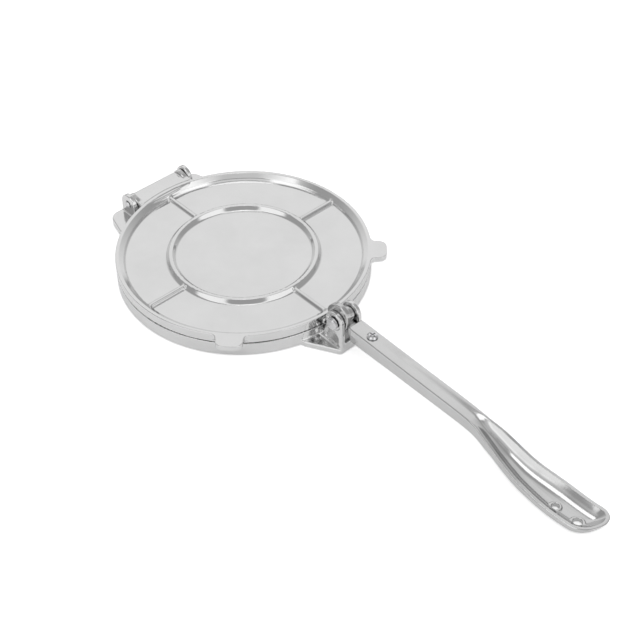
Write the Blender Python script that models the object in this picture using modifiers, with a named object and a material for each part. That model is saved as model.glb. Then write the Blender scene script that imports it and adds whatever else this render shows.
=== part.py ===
"""Tortilla press of polished cast aluminium: two hinged plates and a folding press lever.

Metres, +Z up. The origin is the middle of the base plate's underside, the lever points along -Y and the
hinge of the top plate lies along X behind the plates. The closed plates are 20 cm across and 2 cm thick.
"""

import math

import bmesh
import bpy
from mathutils import Matrix, Vector

MM = 0.001

# Clearances
GAP = 0.3 * MM
OVERRUN = 1.0 * MM
BORE_PLAY = 0.3 * MM
MERGE_DISTANCE = 0.001 * MM

# Plates
PLATE_RADIUS = 100.0 * MM
BASE_HEIGHT = 12.0 * MM
CLOSED_HEIGHT = 20.5 * MM
EDGE_ROUND = 0.6 * MM

# Base plate underside
FOOT_ROUND = 1.4 * MM
FOOT_ROUND_SHARE = 0.3
FOOT_WIDTH = 5.0 * MM
FOOT_OVERLAP_SHARE = 0.5
BASE_WEB = 8.5 * MM
WEB_OVERLAP_SHARE = 0.5
UNDER_RING_RADIUS = 57.0 * MM
UNDER_RING_WIDTH = 4.0 * MM
UNDER_RIB_WIDTH = 4.0 * MM
UNDER_RELIEF = 0.8 * MM
CENTRE_PAD_RADIUS = 13.0 * MM
DRAFT = 1.2 * MM

# Top plate
TOP_WEB = 2.8 * MM
LIP_WIDTH = 2.3 * MM
LIP_SLOPE_WIDTH = 3.8 * MM
LIP_SLOPE_DROP = 2.9 * MM
LIP_WALL_WIDTH = 1.1 * MM
RING_RADIUS = 57.0 * MM
RING_WIDTH = 7.6 * MM
RING_TOP_WIDTH = 3.0 * MM
RING_HEIGHT = 3.4 * MM
RIB_WIDTH = 3.6 * MM
RIB_TOP_WIDTH = 2.0 * MM
RIB_HEIGHT = 2.6 * MM

# Finger tabs of the top plate
TAB_ANGLE = math.radians(46.2)
TAB_REACH = 11.8 * MM
TAB_WIDTH = 21.0 * MM
TAB_CORNER = 6.0 * MM
TAB_THICKNESS = 4.6 * MM
TAB_DROP = 0.4 * MM
TAB_ROOT_FLARE = 6.0 * MM
TAB_NECK = 2.0 * MM
TAB_NECK_ROUND_SHARE = 0.5

# Press lip of the top plate, under the cam
PRESS_LIP_REACH = 4.2 * MM
PRESS_LIP_DROP = 3.4 * MM

# Front bracket of the base plate
PIN_OUTSET = 15.2 * MM
PIN_REACH = PLATE_RADIUS + PIN_OUTSET
PIN_HEIGHT = 26.3 * MM
PIN_RADIUS = 2.5 * MM
PIN_HEAD_RADIUS = 4.9 * MM
PIN_HEAD_HEIGHT = 2.6 * MM
PIN_SMALL_HEAD_SHARES = (0.33, 0.5)
EAR_RADIUS = 8.8 * MM
EAR_WIDTH = 3.8 * MM
LEFT_EAR_INSIDE = 7.9 * MM
RIGHT_EAR_INSIDE = 5.0 * MM
EAR_NECK_SHARE = 0.66
EAR_ARC_SHARE = 0.6
FLANGE_HEIGHT = 4.7 * MM
FLANGE_FRONT_WIDTH = 24.6 * MM
FLANGE_ROOT_WIDTH = 52.0 * MM
FLANGE_ROOT_STEP = 2.4 * MM
FLANGE_CORNER = 2.0 * MM
FLANGE_OVERLAP_SHARE = 0.5
STOP_WALL_THICKNESS = 3.2 * MM
STOP_WALL_HEIGHT = 9.0 * MM
STUD_RADIUS = 1.9 * MM
STUD_HEIGHT = 1.6 * MM
STUD_ANGLE = math.radians(7.4)

# Rear hinge
HINGE_OUTSET = 10.0 * MM
HINGE_REACH = PLATE_RADIUS + HINGE_OUTSET
HINGE_HEIGHT = 16.3 * MM
KNUCKLE_RADIUS = 6.6 * MM
KNUCKLE_WIDTH = 4.4 * MM
HINGE_EAR_RADIUS = 8.4 * MM
HINGE_EAR_WIDTH = 4.0 * MM
HINGE_EAR_OUTSIDE = 30.5 * MM
HINGE_PIN_RADIUS = 2.0 * MM
HINGE_PIN_HEAD_RADIUS = 3.3 * MM
HINGE_PIN_HEAD_HEIGHT = 1.4 * MM
HINGE_PIN_CROWN_SHARES = (0.5, 0.1)
KNUCKLE_ARC_SHARE = 0.833
LEAF_OVERHANG = 5.3 * MM
LEAF_THICKNESS = 3.6 * MM
LEAF_DROP = 0.5 * MM
LEAF_CORNER = 5.0 * MM
ARM_LIFT = 0.6 * MM
REAR_FLANGE_HEIGHT = 7.0 * MM
REAR_FLANGE_OVERHANG = 9.0 * MM
REAR_FLANGE_WIDTH = 86.0 * MM
REAR_FLANGE_CORNER = 9.0 * MM
REAR_FLANGE_ROOT_WIDTH = 106.0 * MM

# Lever head
CAM_WIDTH = 4.2 * MM
CAM_LOBE_RADIUS = 14.2 * MM
HUB_RADIUS = 6.0 * MM
TANG_WIDTH = 8.0 * MM
TANG_TOP_DROP = 4.2 * MM
TANG_HEIGHT = 8.0 * MM
TANG_LENGTH = 26.0 * MM
TANG_ROOT_SHARE = 0.5
# The cam's radius, as shares of the lobe's, against shares of a full turn from the handle's direction
CAM_TURN_SHARES = (0, 0.069, 0.144, 0.228, 0.361, 0.439, 0.5, 0.597, 0.75, 0.903)
CAM_RADIUS_SHARES = (0.67, 0.80, 0.97, 1.0, 0.90, 0.84, 0.73, 0.67, 0.65, 0.65)

# Handle
HANDLE_OUTSET = 10.4 * MM
HANDLE_ROOT_REACH = PIN_REACH + HANDLE_OUTSET
HANDLE_LENGTH = 238.4 * MM
HANDLE_ROOT_TOP = 25.4 * MM
HANDLE_FALL = 18.0 * MM
BAR_WIDTH = 13.6 * MM
BAR_DEPTH = 15.4 * MM
GRIP_WIDTH = 27.0 * MM
GRIP_DEPTH = 7.0 * MM
GRIP_SHIFT = 5.6 * MM
CHANNEL_WALL = 1.7 * MM
WALL_EDGE_SHARE = 0.25
TROUGH_DEPTH = 5.0 * MM
TROUGH_WALL = 2.6 * MM
SOCKET_ROOF = 4.2 * MM
# Along the handle, as shares of its length: the fall of its top, its depth, its width and its trough
FALL_PLACE_SHARES = (0.0, 0.25, 0.50, 0.58, 0.66, 0.74, 0.86, 1.0)
FALL_SHARES = (0.0, 0.125, 0.26, 0.44, 0.70, 0.87, 0.98, 1.0)
DEPTH_PLACE_SHARES = (0.0, 0.18, 0.50, 0.66, 0.74, 0.86, 1.0)
DEPTH_SHARES = (1.0, 0.84, 0.64, 0.38, 0.22, 0.07, 0.0)
WIDTH_PLACE_SHARES = (0.0, 0.49, 0.53, 0.58, 0.66, 0.74, 0.83, 0.92)
WIDTH_SHARES = (0.0, 0.0, 0.08, 0.38, 0.70, 0.90, 1.0, 0.93)
SHIFT_PLACE_SHARES = (0.0, 0.46, 0.60, 0.75, 0.86, 0.92, 0.95, 0.975, 1.0)
SHIFT_SHARES = (0.0, 0.0, 0.30, 0.86, 1.0, 0.90, 0.68, 0.36, -0.25)
TROUGH_PLACE_SHARES = (0.0, 0.10, 0.14, 0.50, 0.57, 0.66, 0.93)
TROUGH_SHARES = (0.0, 0.0, 0.2, 0.2, 0.75, 1.0, 1.0)
CORNER_SHARE = 0.45
TIP_SHARE = 0.087
TIP_RISE_SHARE = 0.72
HOLE_SHIFT = 3.5 * MM
HOLE_PLACE_SHARES = (0.845, 0.922)
HOLE_RADII = (2.7 * MM, 3.3 * MM)
HOLE_BOSS_WALL = 1.6 * MM
HOLE_BOSS_HEIGHT = 1.0 * MM

# Handle screw
SCREW_PLACE = 18.4 * MM
SCREW_RADIUS = 2.0 * MM
SCREW_HEAD_RADIUS = 4.2 * MM
SCREW_HEAD_HEIGHT = 2.0 * MM
SCREW_RECESS_WIDTH = 1.1 * MM
SCREW_RECESS_DEPTH = 0.9 * MM
SCREW_RECESS_SHARE = 0.62
# The domed head: shares of its radius against shares of its height from the top
SCREW_DOME_RADIUS_SHARES = (0.33, 0.67)
SCREW_DOME_DROP_SHARES = (0.05, 0.2)
SCREW_RIM_SHARE = 0.5

# Fineness of round shapes
PLATE_STEPS = 96
ROUND_STEPS = 30
ARC_STEPS = 10
HANDLE_STEPS = 46
TIP_STEPS = 9
CORNER_STEPS = 4
TROUGH_STEPS = 8
TROUGH_POWER = 4
SHARP_ANGLE = math.radians(30)

# Colours: polished cast aluminium and plated steel
ALUMINIUM = ((0.79, 0.79, 0.80), 0.24)
DARKER_ALUMINIUM = ((0.74, 0.74, 0.75), 0.30)
STEEL = ((0.66, 0.66, 0.67), 0.22)


def clear_scene():
    for obj in list(bpy.data.objects):
        bpy.data.objects.remove(obj, do_unlink=True)


def new_collection(name):
    collection = bpy.data.collections.new(name)
    bpy.context.scene.collection.children.link(collection)
    return collection


def new_material(name, finish):
    colour, roughness = finish
    material = bpy.data.materials.new(name)
    material.use_nodes = True
    shader = material.node_tree.nodes["Principled BSDF"]
    shader.inputs["Base Color"].default_value = (*colour, 1.0)
    shader.inputs["Metallic"].default_value = 1.0
    shader.inputs["Roughness"].default_value = roughness
    return material


def link(obj, collection):
    for owner in list(obj.users_collection):
        owner.objects.unlink(obj)
    collection.objects.link(obj)
    return obj


def mesh_object(name, mesh, collection):
    obj = bpy.data.objects.new(name, mesh)
    collection.objects.link(obj)
    return obj


def apply_modifiers(obj):
    """Replaces the object's mesh by its evaluated one."""
    graph = bpy.context.evaluated_depsgraph_get()
    mesh = bpy.data.meshes.new_from_object(obj.evaluated_get(graph))
    obj.modifiers.clear()
    obj.data = mesh


def box(name, low, high, collection):
    """A box between two corners."""
    bm = bmesh.new()
    bmesh.ops.create_cube(bm, size=1.0)
    size = [high[i] - low[i] for i in range(3)]
    middle = [(high[i] + low[i]) / 2 for i in range(3)]
    bmesh.ops.scale(bm, vec=size, verts=bm.verts)
    bmesh.ops.translate(bm, vec=middle, verts=bm.verts)
    mesh = bpy.data.meshes.new(name)
    bm.to_mesh(mesh)
    bm.free()
    return mesh_object(name, mesh, collection)


def rod(name, start, end, radius, collection, end_radius=None, steps=ROUND_STEPS):
    """A cylinder or a cone from one point to another."""
    start, end = Vector(start), Vector(end)
    along = end - start
    bm = bmesh.new()
    bmesh.ops.create_cone(
        bm, cap_ends=True, segments=steps, radius1=radius,
        radius2=radius if end_radius is None else end_radius, depth=along.length,
    )
    turn = Vector((0, 0, 1)).rotation_difference(along).to_matrix().to_4x4()
    bmesh.ops.transform(bm, matrix=Matrix.Translation((start + end) / 2) @ turn, verts=bm.verts)
    mesh = bpy.data.meshes.new(name)
    bm.to_mesh(mesh)
    bm.free()
    return mesh_object(name, mesh, collection)


def turned(name, profile, collection, steps=PLATE_STEPS):
    """A solid of revolution about Z from (radius, height) points that run from the top to the bottom."""
    mesh = bpy.data.meshes.new(name)
    edges = [(i, i + 1) for i in range(len(profile) - 1)]
    mesh.from_pydata([(radius, 0, height) for radius, height in profile], edges, [])
    obj = mesh_object(name, mesh, collection)
    screw = obj.modifiers.new("turn", "SCREW")
    screw.axis = "Z"
    screw.steps = screw.render_steps = steps
    screw.use_merge_vertices = True
    screw.merge_threshold = MERGE_DISTANCE
    apply_modifiers(obj)
    return obj


def slab(name, outline, thickness, collection, frame=None):
    """A flat outline of (x, y) points, extruded from z = 0 to its thickness, then placed by a matrix."""
    curve = bpy.data.curves.new(name + "_outline", "CURVE")
    curve.dimensions = "2D"
    curve.fill_mode = "BOTH"
    curve.extrude = thickness / 2
    spline = curve.splines.new("POLY")
    spline.points.add(len(outline) - 1)
    for point, (x, y) in zip(spline.points, outline):
        point.co = (x, y, 0, 1)
    spline.use_cyclic_u = True
    guide = bpy.data.objects.new(name + "_outline", curve)
    collection.objects.link(guide)
    graph = bpy.context.evaluated_depsgraph_get()
    mesh = bpy.data.meshes.new_from_object(guide.evaluated_get(graph))
    bpy.data.objects.remove(guide, do_unlink=True)
    bm = bmesh.new()
    bm.from_mesh(mesh)
    bmesh.ops.remove_doubles(bm, verts=bm.verts, dist=MERGE_DISTANCE)
    bmesh.ops.translate(bm, vec=(0, 0, thickness / 2), verts=bm.verts)
    if frame is not None:
        bmesh.ops.transform(bm, matrix=frame, verts=bm.verts)
    bmesh.ops.recalc_face_normals(bm, faces=bm.faces)
    bm.to_mesh(mesh)
    bm.free()
    return mesh_object(name, mesh, collection)


def combine(target, others, operation):
    """Joins, cuts or keeps the others with the target by EXACT Booleans, and removes them."""
    for other in others:
        modifier = target.modifiers.new(operation.lower(), "BOOLEAN")
        modifier.operation = operation
        modifier.solver = "EXACT"
        modifier.object = other
        apply_modifiers(target)
        bpy.data.objects.remove(other, do_unlink=True)
    return target


def arc(centre, radius, start, end, steps=ARC_STEPS):
    """Points along an arc between two angles in degrees."""
    points = []
    for i in range(steps + 1):
        angle = math.radians(start + (end - start) * i / steps)
        points.append((centre[0] + radius * math.cos(angle), centre[1] + radius * math.sin(angle)))
    return points


def rounded(points, radii, steps=ARC_STEPS):
    """An outline with each corner rounded by its own radius."""
    result = []
    count = len(points)
    for i, (x, y) in enumerate(points):
        radius = radii[i]
        if radius <= 0:
            result.append((x, y))
            continue
        corner = Vector((x, y))
        before = (Vector(points[i - 1]) - corner).normalized()
        after = (Vector(points[(i + 1) % count]) - corner).normalized()
        half = before.angle(after) / 2
        middle = corner + (before + after).normalized() * (radius / math.sin(half))
        start = corner + before * (radius / math.tan(half)) - middle
        end = corner + after * (radius / math.tan(half)) - middle
        sweep = start.angle_signed(end)
        first = math.atan2(start.y, start.x)
        for k in range(steps + 1):
            angle = first - sweep * k / steps
            result.append((middle.x + radius * math.cos(angle), middle.y + radius * math.sin(angle)))
    return result


def smooth_value(places, values, place):
    """A smooth curve through the values, with no overshoot (monotone cubic)."""
    if place <= places[0]:
        return values[0]
    if place >= places[-1]:
        return values[-1]
    slopes = [(values[i + 1] - values[i]) / (places[i + 1] - places[i]) for i in range(len(places) - 1)]
    tangents = [slopes[0]]
    for left, right in zip(slopes, slopes[1:]):
        tangents.append(0.0 if left * right <= 0 else 2 * left * right / (left + right))
    tangents.append(slopes[-1])
    i = max(k for k in range(len(places) - 1) if places[k] <= place)
    width = places[i + 1] - places[i]
    t = (place - places[i]) / width
    return (
        (2 * t**3 - 3 * t**2 + 1) * values[i] + (t**3 - 2 * t**2 + t) * width * tangents[i]
        + (3 * t**2 - 2 * t**3) * values[i + 1] + (t**3 - t**2) * width * tangents[i + 1]
    )


def side_frame(x):
    """Places a slab drawn as (reach towards -Y, height) so that it starts at x and grows towards +X."""
    return Matrix.Translation((x, 0, 0)) @ Matrix(((0, 0, 1, 0), (-1, 0, 0, 0), (0, 1, 0, 0), (0, 0, 0, 1)))


def side_slab(name, outline, low, high, collection):
    """A slab drawn from the side as (reach towards -Y, height), between two values of x."""
    return slab(name, outline, high - low, collection, side_frame(low))


def finish(obj, material, origin=(0, 0, 0)):
    """Gives the piece its material, its smooth shading and its origin."""
    mesh = obj.data
    mesh.materials.clear()
    mesh.materials.append(material)
    bm = bmesh.new()
    bm.from_mesh(mesh)
    bmesh.ops.remove_doubles(bm, verts=bm.verts, dist=MERGE_DISTANCE)
    bmesh.ops.dissolve_degenerate(bm, edges=bm.edges, dist=MERGE_DISTANCE)
    bmesh.ops.translate(bm, vec=-Vector(origin), verts=bm.verts)
    bm.to_mesh(mesh)
    bm.free()
    mesh.shade_smooth()
    mesh.set_sharp_from_angle(angle=SHARP_ANGLE)
    obj.location = origin
    return obj


def front_ear(name, left, right, collection):
    """One upright ear of the front bracket, with its gusset back to the plate's wall."""
    front = PIN_REACH + EAR_RADIUS
    neck = PIN_REACH - EAR_RADIUS * EAR_NECK_SHARE
    root = PLATE_RADIUS - FOOT_WIDTH * FOOT_OVERLAP_SHARE
    low = FLANGE_HEIGHT * FLANGE_OVERLAP_SHARE
    outline = [(root, low), (front, low)]
    outline += arc((PIN_REACH, PIN_HEIGHT), EAR_RADIUS, 0, 360 * EAR_ARC_SHARE, 2 * ARC_STEPS)
    outline += [
        (neck, PIN_HEIGHT - EAR_RADIUS),
        (PLATE_RADIUS + EAR_WIDTH, BASE_HEIGHT - low),
        (root, BASE_HEIGHT - FLANGE_HEIGHT),
    ]
    return side_slab(name, outline, left, right, collection)


def rear_ear(name, left, right, collection):
    """One upright ear of the rear hinge."""
    low = REAR_FLANGE_HEIGHT * FLANGE_OVERLAP_SHARE
    outline = [(-HINGE_REACH + HINGE_EAR_RADIUS, low)]
    outline += arc((-HINGE_REACH, HINGE_HEIGHT), HINGE_EAR_RADIUS, 0, 180, 2 * ARC_STEPS)
    outline += [(-HINGE_REACH - HINGE_EAR_RADIUS, low)]
    return side_slab(name, outline, left, right, collection)


def base_disc(collection):
    """The round base: a flat pressing face on a web, with a rim foot, a ring and a pad underneath."""
    web_under = BASE_HEIGHT - BASE_WEB
    foot_inside = PLATE_RADIUS - FOOT_WIDTH
    ring_out = UNDER_RING_RADIUS + UNDER_RING_WIDTH / 2
    ring_in = UNDER_RING_RADIUS - UNDER_RING_WIDTH / 2
    profile = [(0, BASE_HEIGHT), (PLATE_RADIUS - EDGE_ROUND, BASE_HEIGHT)]
    profile += [(PLATE_RADIUS, BASE_HEIGHT - EDGE_ROUND), (PLATE_RADIUS, FOOT_ROUND)]
    bulge = FOOT_ROUND * FOOT_ROUND_SHARE
    profile += [(PLATE_RADIUS - bulge, bulge), (PLATE_RADIUS - FOOT_ROUND, 0)]
    profile += [(foot_inside, 0), (foot_inside - DRAFT, web_under)]
    profile += [(ring_out + DRAFT, web_under), (ring_out, UNDER_RELIEF), (ring_in, UNDER_RELIEF)]
    profile += [(ring_in - DRAFT, web_under), (CENTRE_PAD_RADIUS + DRAFT, web_under)]
    profile += [(CENTRE_PAD_RADIUS, 0), (0, 0)]
    disc = turned("base_disc", profile, collection)
    reach = PLATE_RADIUS - FOOT_WIDTH * FOOT_OVERLAP_SHARE
    half = UNDER_RIB_WIDTH / 2
    top = BASE_HEIGHT - BASE_WEB * WEB_OVERLAP_SHARE
    ribs = [
        box("rib_across", (-reach, -half, UNDER_RELIEF), (reach, half, top), collection),
        box("rib_along", (-half, -reach, UNDER_RELIEF), (half, reach, top), collection),
    ]
    return combine(disc, ribs, "UNION")


def front_flange(collection):
    """The tapered foot under the front bracket."""
    front = PIN_REACH + EAR_RADIUS
    half_front, half_root = FLANGE_FRONT_WIDTH / 2, FLANGE_ROOT_WIDTH / 2
    inside = PLATE_RADIUS - FOOT_WIDTH * FOOT_OVERLAP_SHARE
    root = math.sqrt(inside**2 - half_root**2)
    step = math.sqrt(PLATE_RADIUS**2 - half_root**2) + FLANGE_ROOT_STEP
    corners = [
        (-half_root, -root), (-half_root, -step), (-half_front, -front),
        (half_front, -front), (half_root, -step), (half_root, -root),
    ]
    radii = (0, 0, FLANGE_CORNER, FLANGE_CORNER, 0, 0)
    return slab("front_flange", rounded(corners, radii), FLANGE_HEIGHT, collection)


def rim_hollow(name, height, collection):
    """The cutter that ends a flange inside the plate's rim."""
    radius = PLATE_RADIUS - FOOT_WIDTH * FOOT_OVERLAP_SHARE
    return rod(name, (0, 0, -OVERRUN), (0, 0, height + OVERRUN), radius, collection, steps=PLATE_STEPS)


def rear_flange(collection):
    """The rounded foot under the rear hinge."""
    half, half_root = REAR_FLANGE_WIDTH / 2, REAR_FLANGE_ROOT_WIDTH / 2
    root = math.sqrt((PLATE_RADIUS - EDGE_ROUND) ** 2 - half_root**2)
    back = HINGE_REACH + REAR_FLANGE_OVERHANG
    corners = [
        (half_root, root - FOOT_WIDTH), (half_root, root), (half, back),
        (-half, back), (-half_root, root), (-half_root, root - FOOT_WIDTH),
    ]
    radii = (0, 0, REAR_FLANGE_CORNER, REAR_FLANGE_CORNER, 0, 0)
    outside = slab("rear_flange", rounded(corners, radii), REAR_FLANGE_HEIGHT, collection)
    hollow = rim_hollow("rear_hollow", REAR_FLANGE_HEIGHT, collection)
    return combine(outside, [hollow], "DIFFERENCE")


def base_plate(parts, cutters, material):
    """The lower casting: plate, front bracket with its lever stop, and rear hinge ears."""
    piece = link(base_disc(cutters), parts)
    front = PIN_REACH + EAR_RADIUS
    hollow = rim_hollow("front_hollow", FLANGE_HEIGHT, cutters)
    flange = combine(front_flange(cutters), [hollow], "DIFFERENCE")
    wall_side = FLANGE_FRONT_WIDTH / 2 - FLANGE_CORNER * FLANGE_OVERLAP_SHARE
    wall = box(
        "stop_wall", (-wall_side, -front, FLANGE_HEIGHT * FLANGE_OVERLAP_SHARE),
        (wall_side, -front + STOP_WALL_THICKNESS, STOP_WALL_HEIGHT), cutters,
    )
    left = front_ear("left_ear", -LEFT_EAR_INSIDE - EAR_WIDTH, -LEFT_EAR_INSIDE, cutters)
    right = front_ear("right_ear", RIGHT_EAR_INSIDE, RIGHT_EAR_INSIDE + EAR_WIDTH, cutters)
    away = Vector((-math.sin(STUD_ANGLE), -math.cos(STUD_ANGLE), 0))
    stud_height = (FLANGE_HEIGHT + BASE_HEIGHT) / 2
    stud = rod(
        "stud", away * (PLATE_RADIUS - OVERRUN) + Vector((0, 0, stud_height)),
        away * (PLATE_RADIUS + STUD_HEIGHT) + Vector((0, 0, stud_height)), STUD_RADIUS, cutters,
    )
    added = [flange, wall, left, right, stud, rear_flange(cutters)]
    inside = HINGE_EAR_OUTSIDE - HINGE_EAR_WIDTH
    added.append(rear_ear("rear_ear_left", -HINGE_EAR_OUTSIDE, -inside, cutters))
    added.append(rear_ear("rear_ear_right", inside, HINGE_EAR_OUTSIDE, cutters))
    combine(piece, added, "UNION")
    reach = LEFT_EAR_INSIDE + EAR_WIDTH + OVERRUN
    bores = [rod("pin_bore", (-reach, -PIN_REACH, PIN_HEIGHT), (reach, -PIN_REACH, PIN_HEIGHT),
                 PIN_RADIUS + BORE_PLAY, cutters)]
    reach = HINGE_EAR_OUTSIDE + OVERRUN
    bores.append(rod("hinge_bore", (-reach, HINGE_REACH, HINGE_HEIGHT), (reach, HINGE_REACH, HINGE_HEIGHT),
                     HINGE_PIN_RADIUS + BORE_PLAY, cutters))
    combine(piece, bores, "DIFFERENCE")
    piece.name = "base_plate"
    return finish(piece, material)


def top_disc(collection):
    """The round top plate: a thin web with a raised lip round it and a raised ring."""
    under = BASE_HEIGHT + GAP
    floor = under + TOP_WEB
    lip_in = PLATE_RADIUS - EDGE_ROUND - LIP_WIDTH
    slope_in = lip_in - LIP_SLOPE_WIDTH
    wall_in = slope_in - LIP_WALL_WIDTH
    profile = [(0, floor), (RING_RADIUS - RING_WIDTH / 2, floor)]
    profile += [(RING_RADIUS - RING_TOP_WIDTH / 2, floor + RING_HEIGHT)]
    profile += [(RING_RADIUS + RING_TOP_WIDTH / 2, floor + RING_HEIGHT)]
    profile += [(RING_RADIUS + RING_WIDTH / 2, floor), (wall_in, floor)]
    profile += [(slope_in, CLOSED_HEIGHT - LIP_SLOPE_DROP), (lip_in, CLOSED_HEIGHT)]
    profile += [(PLATE_RADIUS - EDGE_ROUND, CLOSED_HEIGHT), (PLATE_RADIUS, CLOSED_HEIGHT - EDGE_ROUND)]
    profile += [(PLATE_RADIUS, under + EDGE_ROUND), (PLATE_RADIUS - EDGE_ROUND, under), (0, under)]
    return turned("top_disc", profile, collection)


def top_ribs(collection):
    """Four ribs in a cross between the ring and the lip."""
    floor = BASE_HEIGHT + GAP + TOP_WEB
    inner = RING_RADIUS
    outer = PLATE_RADIUS - LIP_WIDTH - LIP_SLOPE_WIDTH
    half, half_top = RIB_WIDTH / 2, RIB_TOP_WIDTH / 2
    low = -TOP_WEB * WEB_OVERLAP_SHARE
    section = [
        (-half, low), (half, low), (half, 0), (half_top, RIB_HEIGHT), (-half_top, RIB_HEIGHT), (-half, 0),
    ]
    ribs = []
    for quarter in range(4):
        turn = Matrix.Rotation(quarter * math.pi / 2, 4, "Z")
        lay = Matrix(((0, 0, 1, inner), (1, 0, 0, 0), (0, 1, 0, floor), (0, 0, 0, 1)))
        ribs.append(slab(f"rib_{quarter}", section, outer - inner, collection, turn @ lay))
    return ribs


def finger_tab(name, angle, collection):
    """A rounded lifting tab at the plate's edge. The angle is measured from the lever's direction."""
    half = TAB_WIDTH / 2
    reach = PLATE_RADIUS + TAB_REACH
    flare = half + TAB_ROOT_FLARE
    edge = math.sqrt((PLATE_RADIUS - EDGE_ROUND) ** 2 - flare**2)
    neck = PLATE_RADIUS + TAB_NECK
    corners = [(edge, -flare), (neck, -half), (reach, -half), (reach, half), (neck, half), (edge, flare)]
    fillet = TAB_ROOT_FLARE * TAB_NECK_ROUND_SHARE
    radii = (0, fillet, TAB_CORNER, TAB_CORNER, fillet, 0)
    high = CLOSED_HEIGHT - TAB_DROP
    place = Matrix.Rotation(angle - math.pi / 2, 4, "Z") @ Matrix.Translation((0, 0, high - TAB_THICKNESS))
    return slab(name, rounded(corners, radii), TAB_THICKNESS, collection, place)


def hinge_leaf(collection):
    """The flat leaf behind the top plate with a knuckle at each end."""
    high = CLOSED_HEIGHT - LEAF_DROP
    outside = HINGE_EAR_OUTSIDE - HINGE_EAR_WIDTH - GAP
    inside = outside - KNUCKLE_WIDTH
    root = PLATE_RADIUS - LIP_WIDTH - LIP_WALL_WIDTH
    half, back = inside + OVERRUN, HINGE_REACH + LEAF_OVERHANG
    corners = [(-half, root), (half, root), (half, back), (-half, back)]
    lift = Matrix.Translation((0, 0, high - LEAF_THICKNESS))
    plan = rounded(corners, (0, 0, LEAF_CORNER, LEAF_CORNER))
    pieces = [slab("leaf", plan, LEAF_THICKNESS, collection, lift)]
    low = BASE_HEIGHT + GAP + ARM_LIFT
    centre = (-HINGE_REACH, HINGE_HEIGHT)
    arm_root = -math.sqrt((PLATE_RADIUS - EDGE_ROUND - LIP_WIDTH) ** 2 - inside**2)
    for side in (-1, 1):
        left, right = sorted((side * inside, side * outside))
        outline = arc(centre, KNUCKLE_RADIUS, 90, 360 * KNUCKLE_ARC_SHARE, 2 * ARC_STEPS)
        outline += [(-PLATE_RADIUS - OVERRUN, low), (arm_root, low), (arm_root, high)]
        outline.append((-HINGE_REACH + KNUCKLE_RADIUS, high))
        pieces.append(side_slab(f"knuckle_{side}", outline, left, right, collection))
    return pieces


def top_plate(parts, cutters, material):
    """The upper casting: pressing plate with lip, ring, ribs, finger tabs, press lip and hinge leaf."""
    piece = link(top_disc(cutters), parts)
    added = top_ribs(cutters)
    added.append(finger_tab("tab_left", -TAB_ANGLE, cutters))
    added.append(finger_tab("tab_right", TAB_ANGLE, cutters))
    added += hinge_leaf(cutters)
    under = BASE_HEIGHT + GAP
    lip_side = RIGHT_EAR_INSIDE - GAP
    added.append(box(
        "press_lip", (-LEFT_EAR_INSIDE + GAP, -PLATE_RADIUS - PRESS_LIP_REACH, under),
        (lip_side, -PLATE_RADIUS + LIP_WIDTH, CLOSED_HEIGHT - PRESS_LIP_DROP), cutters,
    ))
    combine(piece, added, "UNION")
    reach = HINGE_EAR_OUTSIDE + OVERRUN
    bore = rod("knuckle_bore", (-reach, HINGE_REACH, HINGE_HEIGHT), (reach, HINGE_REACH, HINGE_HEIGHT),
               HINGE_PIN_RADIUS + BORE_PLAY, cutters)
    combine(piece, [bore], "DIFFERENCE")
    piece.name = "top_plate"
    return finish(piece, material, (0, HINGE_REACH, HINGE_HEIGHT))


def hinge_pin(side, parts, material):
    """A short rivet through one ear and its knuckle, with its round head outside."""
    outside = HINGE_EAR_OUTSIDE + GAP
    inner = HINGE_EAR_OUTSIDE - HINGE_EAR_WIDTH - KNUCKLE_WIDTH - 2 * GAP
    name = "hinge_pin_left" if side < 0 else "hinge_pin_right"
    radius, head = HINGE_PIN_RADIUS, HINGE_PIN_HEAD_RADIUS
    high = outside + HINGE_PIN_HEAD_HEIGHT
    flat, drop = HINGE_PIN_CROWN_SHARES
    profile = [(0, high), (head * flat, high - HINGE_PIN_HEAD_HEIGHT * drop)]
    profile += [(head - EDGE_ROUND, high - EDGE_ROUND), (head, high - 2 * EDGE_ROUND)]
    profile += [(head, outside), (radius, outside), (radius, inner), (0, inner)]
    piece = link(turned(name, profile, parts, ROUND_STEPS), parts)
    turn = Matrix.Rotation(side * math.pi / 2, 4, "Y")
    piece.data.transform(Matrix.Translation((0, HINGE_REACH, HINGE_HEIGHT)) @ turn)
    piece.name = name
    return finish(piece, material, (0, HINGE_REACH, HINGE_HEIGHT))


def lever_pin(parts, material):
    """The pivot rivet of the lever, with a broad head on the left and a formed head on the right."""
    left = LEFT_EAR_INSIDE + EAR_WIDTH + GAP
    right = RIGHT_EAR_INSIDE + EAR_WIDTH + GAP
    head, small = PIN_HEAD_RADIUS, PIN_HEAD_RADIUS - EDGE_ROUND
    rim, crown = (PIN_HEAD_HEIGHT * share for share in PIN_SMALL_HEAD_SHARES)
    profile = [(0, left + PIN_HEAD_HEIGHT), (small, left + PIN_HEAD_HEIGHT)]
    profile += [(head, left + PIN_HEAD_HEIGHT - EDGE_ROUND), (head, left), (PIN_RADIUS, left)]
    profile += [(PIN_RADIUS, -right), (small, -right), (small, -right - rim)]
    profile += [(PIN_RADIUS, -right - crown), (0, -right - crown)]
    piece = turned("lever_pin", profile, parts, ROUND_STEPS)
    turn = Matrix.Rotation(-math.pi / 2, 4, "Y")
    piece.data.transform(Matrix.Translation((0, -PIN_REACH, PIN_HEIGHT)) @ turn)
    return finish(piece, material, (0, -PIN_REACH, PIN_HEIGHT))


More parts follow.
